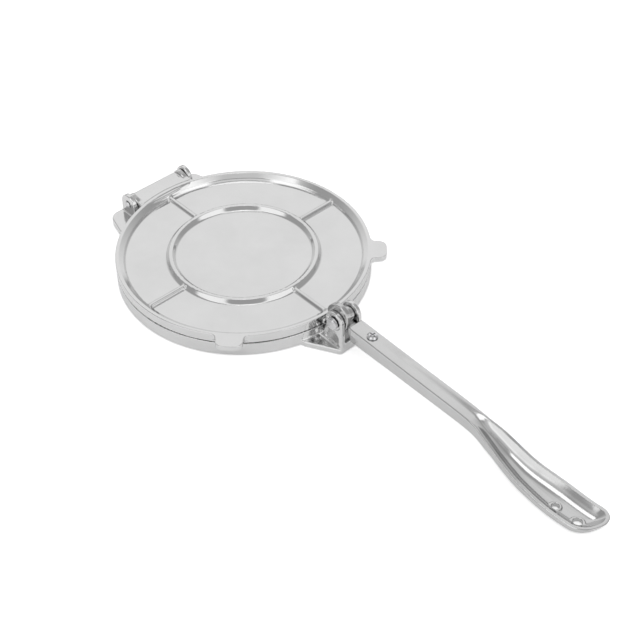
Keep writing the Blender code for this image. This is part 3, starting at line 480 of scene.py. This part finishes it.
SCREW_REACH = ROOT + SCREW_AT
SCREW_TILT = TOP_FALL * float(curve(FALL_AT, FALL, np.array([SCREW_AT / LENGTH]))[0]) / SCREW_AT
SCREW_SEAT = TOP_Z - SCREW_TILT * SCREW_AT


def screw_hole(x, reach, z):
    """The screw's bore, square to the handle's top."""
    return np.hypot(x, (reach - SCREW_REACH) + (z - SCREW_SEAT) * SCREW_TILT) - SCREW_BORE


def handle_plan():
    """The handle's outline from above, with a blunter corner on the right of its end."""
    end = 1 - TIP + TIP * np.sin(np.linspace(0, np.pi / 2, 24))[1:]
    place = np.concatenate([np.linspace(0, 1 - TIP, 90), end])
    half = (BAR_WIDTH + GRIP_GAIN * curve(WIDTH_AT, WIDTH, place)) / 2
    end = np.clip((place - 1 + TIP) / TIP, 0, 1)
    swell = np.clip((place - 0.68) / 0.18, 0, 1)
    blunt = (half + SWELL * swell**2 * (3 - 2 * swell)) * (1 - end**3) ** 0.62
    half = half * np.sqrt(1 - end**2)
    middle = -BEND * curve(SHIFT_AT, SHIFT, place)
    reach = ROOT + LENGTH * place - TIP_BACK * end**2
    left = list(zip(middle - half, reach))
    right = list(zip(middle + blunt, reach))
    return left + right[::-1]


PLAN = Outline(handle_plan(), step=0.2, margin=14.0)
_places = np.linspace(-0.1, 1.1, 1201)
_top = TOP_Z - TOP_FALL * curve(FALL_AT, FALL, np.clip(_places, 0, 1))
_rise = 1 - 0.72 * np.clip((_places - 1 + TIP) / TIP, 0, 1) ** 2
_depth = (DEPTH_TIP + DEPTH_GAIN * curve(DEPTH_AT, DEPTH, _places)) * _rise
_share = curve(TROUGH_AT, TROUGH, _places)
_trough = TROUGH_DEPTH * _share
_half = (BAR_WIDTH + GRIP_GAIN * curve(WIDTH_AT, WIDTH, _places)) / 2
_reach = _half - WALL - WALL_GAIN * _share


def handle_field(x, y, z):
    reach = -y
    place = (reach - ROOT) / LENGTH
    top = np.interp(place, _places, _top)
    depth = np.interp(place, _places, _depth)
    trough = np.interp(place, _places, _trough)
    plan = PLAN(x, reach)
    grip = np.clip((place - 0.5) / 0.12, 0, 1)
    side = plan + grip * 0.16 * (top - z) + (1 - grip) * 0.14 * np.maximum(top - z - 5.5, 0)
    under = top - depth - z
    solid = round_max(side, under, 2.2 + 1.2 * grip)
    solid = round_max(solid, z - top, 0.9)
    wall = WALL + WALL_GAIN * np.interp(place, _places, _share)
    inner = np.clip(-(plan + wall) / np.interp(place, _places, _reach), 0, 1)
    dish = top - trough * (1 - (1 - inner) ** (1.3 + 0.9 * grip))
    dish = (dish - z) * -0.85
    solid = np.where(trough > 0.05, smax(solid, dish, 0.5), solid)
    for share, radius, rim in HOLES:
        at = ROOT + LENGTH * share
        middle = -BEND * float(curve(SHIFT_AT, SHIFT, np.array([share]))[0]) - HOLE_SHIFT
        high = float(np.interp(share, _places, _top))
        d = np.hypot(x - middle, reach - at)
        boss = slab(d - radius - rim, z, high - 6.0, high - 3.9, 0.5)
        solid = smin(solid, boss, 0.9)
        solid = cut(solid, d - radius, 0.4)
    socket = rect(x, reach, -4.3, 4.3, 110.0, 151.9, 0.3)
    roof = 21.2 - SCREW_TILT * (reach - ROOT)
    solid = cut(solid, np.maximum(socket, z - roof), 0.3)
    return cut(solid, screw_hole(x, reach, z), 0.2)


# Materials

CLOUDS, MARKS = 28.0, 900.0  # per metre: the scales of the cloudy tone and of the polishing marks
GRAIN = 0.05
SHADE_REACH = 0.003  # metres: how far the painted shade in corners reaches


def shade(material):
    """A material's node tree and its shader."""
    tree = material.node_tree
    return tree, tree.nodes["Principled BSDF"]


def node(tree, kind, **values):
    """A new node with settings, or values of its inputs, given by name."""
    made = tree.nodes.new(kind)
    for key, value in values.items():
        if hasattr(made, key):
            setattr(made, key, value)
        else:
            made.inputs[key.replace("_", " ")].default_value = value
    return made


def ramp(tree, source, stops):
    """A grey ramp over source with (position, value) stops."""
    made = tree.nodes.new("ShaderNodeValToRGB")
    elements = made.color_ramp.elements
    while len(elements) > 1:
        elements.remove(elements[-1])
    elements[0].position, elements[0].color = stops[0][0], (*[stops[0][1]] * 3, 1)
    for position, value in stops[1:]:
        element = elements.new(position)
        element.color = (*[value] * 3, 1)
    tree.links.new(source, made.inputs["Fac"])
    return made.outputs["Color"]


def cast_metal(name, colour, rough, seed):
    """Polished metal: faint cloudy tone, uneven gloss, fine polishing marks and painted shade that
    darkens its corners.
    """
    material = bpy.data.materials.new(name)
    material.use_nodes = True
    tree, shader = shade(material)
    shader.inputs["Metallic"].default_value = 1.0
    where = node(tree, "ShaderNodeTexCoord").outputs["Object"]
    place = node(tree, "ShaderNodeMapping")
    place.inputs["Location"].default_value = (seed, seed * 0.7, seed * 0.3)
    tree.links.new(where, place.inputs["Vector"])
    cloud = node(tree, "ShaderNodeTexNoise", Scale=CLOUDS, Detail=5.0, Roughness=0.6)
    tree.links.new(place.outputs[0], cloud.inputs["Vector"])
    fine = node(tree, "ShaderNodeTexNoise", Scale=MARKS, Detail=3.0, Roughness=0.6)
    tree.links.new(place.outputs[0], fine.inputs["Vector"])
    low, high = [c * 0.97 for c in colour], [min(1.0, c * 1.02) for c in colour]
    tone = node(tree, "ShaderNodeMix", data_type="RGBA")
    tone.inputs["A"].default_value = (*low, 1)
    tone.inputs["B"].default_value = (*high, 1)
    clouded = ramp(tree, cloud.outputs["Fac"], ((0.35, 0.0), (0.65, 1.0)))
    tree.links.new(clouded, tone.inputs["Factor"])
    # Painted shade: the base colour is darkened where ambient occlusion finds other metal close by, in
    # corners and gaps.
    shelter = node(tree, "ShaderNodeAmbientOcclusion", samples=8, Distance=SHADE_REACH)
    painted_shade = node(tree, "ShaderNodeMix", data_type="RGBA", blend_type="MULTIPLY")
    painted_shade.inputs["Factor"].default_value = 1.0
    tree.links.new(tone.outputs["Result"], painted_shade.inputs["A"])
    darker = ramp(tree, shelter.outputs["AO"], ((0.0, 0.4), (0.35, 0.8), (0.6, 1.0)))
    tree.links.new(darker, painted_shade.inputs["B"])
    tree.links.new(painted_shade.outputs["Result"], shader.inputs["Base Color"])
    spread = node(tree, "ShaderNodeMapRange", To_Min=rough * 0.85, To_Max=rough * 1.2)
    tree.links.new(cloud.outputs["Fac"], spread.inputs["Value"])
    tree.links.new(spread.outputs["Result"], shader.inputs["Roughness"])
    bump = node(tree, "ShaderNodeBump", Strength=GRAIN, Distance=0.0002)
    tree.links.new(fine.outputs["Fac"], bump.inputs["Height"])
    tree.links.new(bump.outputs["Normal"], shader.inputs["Normal"])
    return material


ALUMINIUM = (0.73, 0.73, 0.73)
top_metal = cast_metal("top_cast_aluminium", ALUMINIUM, 0.10, seed=0.1)
base_metal = cast_metal("base_cast_aluminium", ALUMINIUM, 0.13, seed=0.4)
# The lever head's darker colour is painted shade: it stands in for the shadow and dark reflections
# around the cam.
head_metal = cast_metal("head_cast_aluminium", (0.60, 0.60, 0.60), 0.12, seed=0.9)
handle_metal = cast_metal("handle_cast_aluminium", (0.64, 0.64, 0.64), 0.13, seed=1.3)
steel = cast_metal("plated_steel", (0.70, 0.70, 0.71), 0.12, seed=2.0)

FULL_STEP, QUICK_STEP = 0.8, 1.4
PLATE_KEEP, LEVER_KEEP = 0.30, 0.5  # the share of the faces that is kept where the mesh is thinned

step = FULL_STEP
cast_piece("top_casting", top_field, (-101, -101, 12), (101, 118, 28), step, PLATE_KEEP,
           "top", ["top_plate"], top_metal)
cast_piece("base_casting", base_field, (-101, -125, 0), (101, 119, 37), step, PLATE_KEEP,
           "base", ["base_plate"], base_metal)
cast_piece("head_casting", head_field, (-9, -153, 12), (6, -100, 42), step / 2, LEVER_KEEP,
           "lever", ["lever_head"], head_metal)
cast_piece("handle_casting", handle_field, (-21, -365, 0), (10, -125, 26), step * 0.625, LEVER_KEEP,
           "lever", ["handle"], handle_metal)
for name in ("handle_screw", "lever_pin", "hinge_pin_left", "hinge_pin_right"):
    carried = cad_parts[name]
    carried.data.materials.clear()
    carried.data.materials.append(steel)


# Camera: the photo's own, found from the round plates

PICTURE = 640
SENSOR = 36


def put_camera():
    """The camera looks at a point above the plates' middle, which lies at target_px of the picture."""
    focal, azimuth, elevation, distance, roll = 1404.0, -38.44, 39.83, 1.1, -2.93
    target_px = (243.7, 248.1)
    az, el, roll = (math.radians(v) for v in (azimuth, elevation, roll))
    back = Vector((math.cos(el) * math.sin(az), -math.cos(el) * math.cos(az), math.sin(el)))
    right = Vector((math.cos(az), math.sin(az), 0))
    up = back.cross(right)
    tilted_right = math.cos(roll) * right + math.sin(roll) * up
    tilted_up = -math.sin(roll) * right + math.cos(roll) * up
    half = PICTURE / 2
    ray = Vector(((target_px[0] - half) / focal, (half - target_px[1]) / focal, -1)).normalized()
    turn = Vector((0, 0, -1)).rotation_difference(ray).to_matrix()
    world_to_camera = turn @ Matrix((tilted_right, tilted_up, back))
    data = bpy.data.cameras.new("camera")
    data.sensor_width = SENSOR
    data.lens = focal / PICTURE * SENSOR
    data.clip_start, data.clip_end = 0.05, 20
    camera = bpy.data.objects.new("camera", data)
    bpy.context.scene.collection.objects.link(camera)
    place = Matrix.Translation(Vector((0, 0, 0.020)) + back * distance)
    camera.matrix_world = place @ world_to_camera.transposed().to_4x4()
    bpy.context.scene.camera = camera


put_camera()


# Studio

# What the floor gives off for each kind of ray. It stays below white, and keeps the shadow.
FLOOR_LIFT = (("Is Camera Ray", 0.55), ("Is Glossy Ray", 0.17), ("Is Transmission Ray", 0.40))

# The studio's light by direction, in degrees: the turn from the far side and the height above the
# floor. Each line is (turn, half width, softness, height, half height, softness, change of light).
STUDIO_TURN = -38.44
STUDIO_BASE = 0.42
STUDIO = (
    (0, 50, 60, 28, 28, 14, 0.52),
    (0, 20, 12, 7, 11, 8, -0.40),
    (131, 21, 8, 34, 28, 12, 0.74),
    (180, 90, 30, 66, 12, 10, 0.28),
    (180, 60, 24, 3, 9, 8, 0.5),
    (8, 10, 8, 60, 5, 4, 0.4),
    (0, 181, 1, -50, 48, 6, 0.5),
)


def put_floor():
    """A pale plain floor just under the press."""
    mesh = bpy.data.meshes.new("floor")
    bm = bmesh.new()
    bmesh.ops.create_grid(bm, x_segments=4, y_segments=4, size=3.0)
    bmesh.ops.translate(bm, vec=(0, 0, -0.0003), verts=bm.verts)
    bm.to_mesh(mesh)
    bm.free()
    floor = bpy.data.objects.new("floor", mesh)
    bpy.context.scene.collection.objects.link(floor)
    material = bpy.data.materials.new("floor_paint")
    material.use_nodes = True
    tree, shader = shade(material)
    shader.inputs["Base Color"].default_value = (0.95, 0.95, 0.95, 1)
    shader.inputs["Roughness"].default_value = 0.9
    shader.inputs["Specular IOR Level"].default_value = 0.0
    path = tree.nodes.new("ShaderNodeLightPath")
    lift = None
    for ray, share in FLOOR_LIFT:
        step_up = tree.nodes.new("ShaderNodeMath")
        step_up.operation = "MULTIPLY_ADD"
        step_up.inputs[1].default_value = share
        step_up.inputs[2].default_value = 0.0
        tree.links.new(path.outputs[ray], step_up.inputs[0])
        if lift:
            tree.links.new(lift, step_up.inputs[2])
        lift = step_up.outputs[0]
    shader.inputs["Emission Color"].default_value = (1, 1, 1, 1)
    tree.links.new(lift, shader.inputs["Emission Strength"])
    mesh.materials.append(material)


def put_lamp(name, place, size, power, aim):
    """A rectangular lamp at place that points at aim."""
    data = bpy.data.lights.new(name, "AREA")
    data.shape = "RECTANGLE"
    data.size, data.size_y = size
    data.energy = power
    lamp = bpy.data.objects.new(name, data)
    bpy.context.scene.collection.objects.link(lamp)
    lamp.location = place
    lamp.rotation_mode = "QUATERNION"
    lamp.rotation_quaternion = (Vector(aim) - Vector(place)).to_track_quat("-Z", "Y")


def put_world():
    """A studio of soft boxes with dark gaps, drawn by direction, and white where the camera sees it."""
    world = bpy.data.worlds.new("studio")
    bpy.context.scene.world = world
    world.use_nodes = True
    tree = world.node_tree
    link = tree.links.new

    def math_node(kind, *values):
        made = tree.nodes.new("ShaderNodeMath")
        made.operation = kind
        for socket, value in zip(made.inputs, values):
            if isinstance(value, (int, float)):
                socket.default_value = value
            else:
                link(value, socket)
        return made.outputs[0]

    def dot(vector):
        made = tree.nodes.new("ShaderNodeVectorMath")
        made.operation = "DOT_PRODUCT"
        link(direction, made.inputs[0])
        made.inputs[1].default_value = vector
        return made.outputs["Value"]

    def window(value, middle, half, soft):
        """1 within half of the middle, falling to 0 over soft."""
        away = math_node("ABSOLUTE", math_node("SUBTRACT", value, middle))
        made = tree.nodes.new("ShaderNodeMapRange")
        made.interpolation_type = "SMOOTHSTEP"
        made.inputs["From Min"].default_value = half - soft / 2
        made.inputs["From Max"].default_value = half + soft / 2
        made.inputs["To Min"].default_value = 1
        made.inputs["To Max"].default_value = 0
        link(away, made.inputs["Value"])
        return made.outputs["Result"]

    direction = tree.nodes.new("ShaderNodeTexCoord").outputs["Generated"]
    degrees = 180 / math.pi
    turn = math.radians(STUDIO_TURN)
    across = dot((math.cos(turn), math.sin(turn), 0))
    away = dot((-math.sin(turn), math.cos(turn), 0))
    side = math_node("MULTIPLY", math_node("ABSOLUTE", math_node("ARCTAN2", across, away)), degrees)
    high = math_node("MULTIPLY", math_node("ARCSINE", dot((0, 0, 1))), degrees)
    light = STUDIO_BASE
    for at_side, half_side, soft_side, at_high, half_high, soft_high, change in STUDIO:
        share = math_node("MULTIPLY", window(side, at_side, half_side, soft_side),
                          window(high, at_high, half_high, soft_high))
        light = math_node("MULTIPLY_ADD", share, change, light)
    light = math_node("MAXIMUM", light, tree.nodes.new("ShaderNodeLightPath").outputs["Is Camera Ray"])
    background = tree.nodes["Background"]
    combine = tree.nodes.new("ShaderNodeCombineColor")
    for socket in combine.inputs[:3]:
        link(light, socket)
    link(combine.outputs[0], background.inputs["Color"])
    background.inputs["Strength"].default_value = 1.0


put_floor()
put_world()
put_lamp("overhead", (0.0, 0.0, 1.8), (0.7, 0.7), 2.0, aim=(0, -0.08, 0.0))

bpy.context.scene.view_settings.view_transform = "Standard"
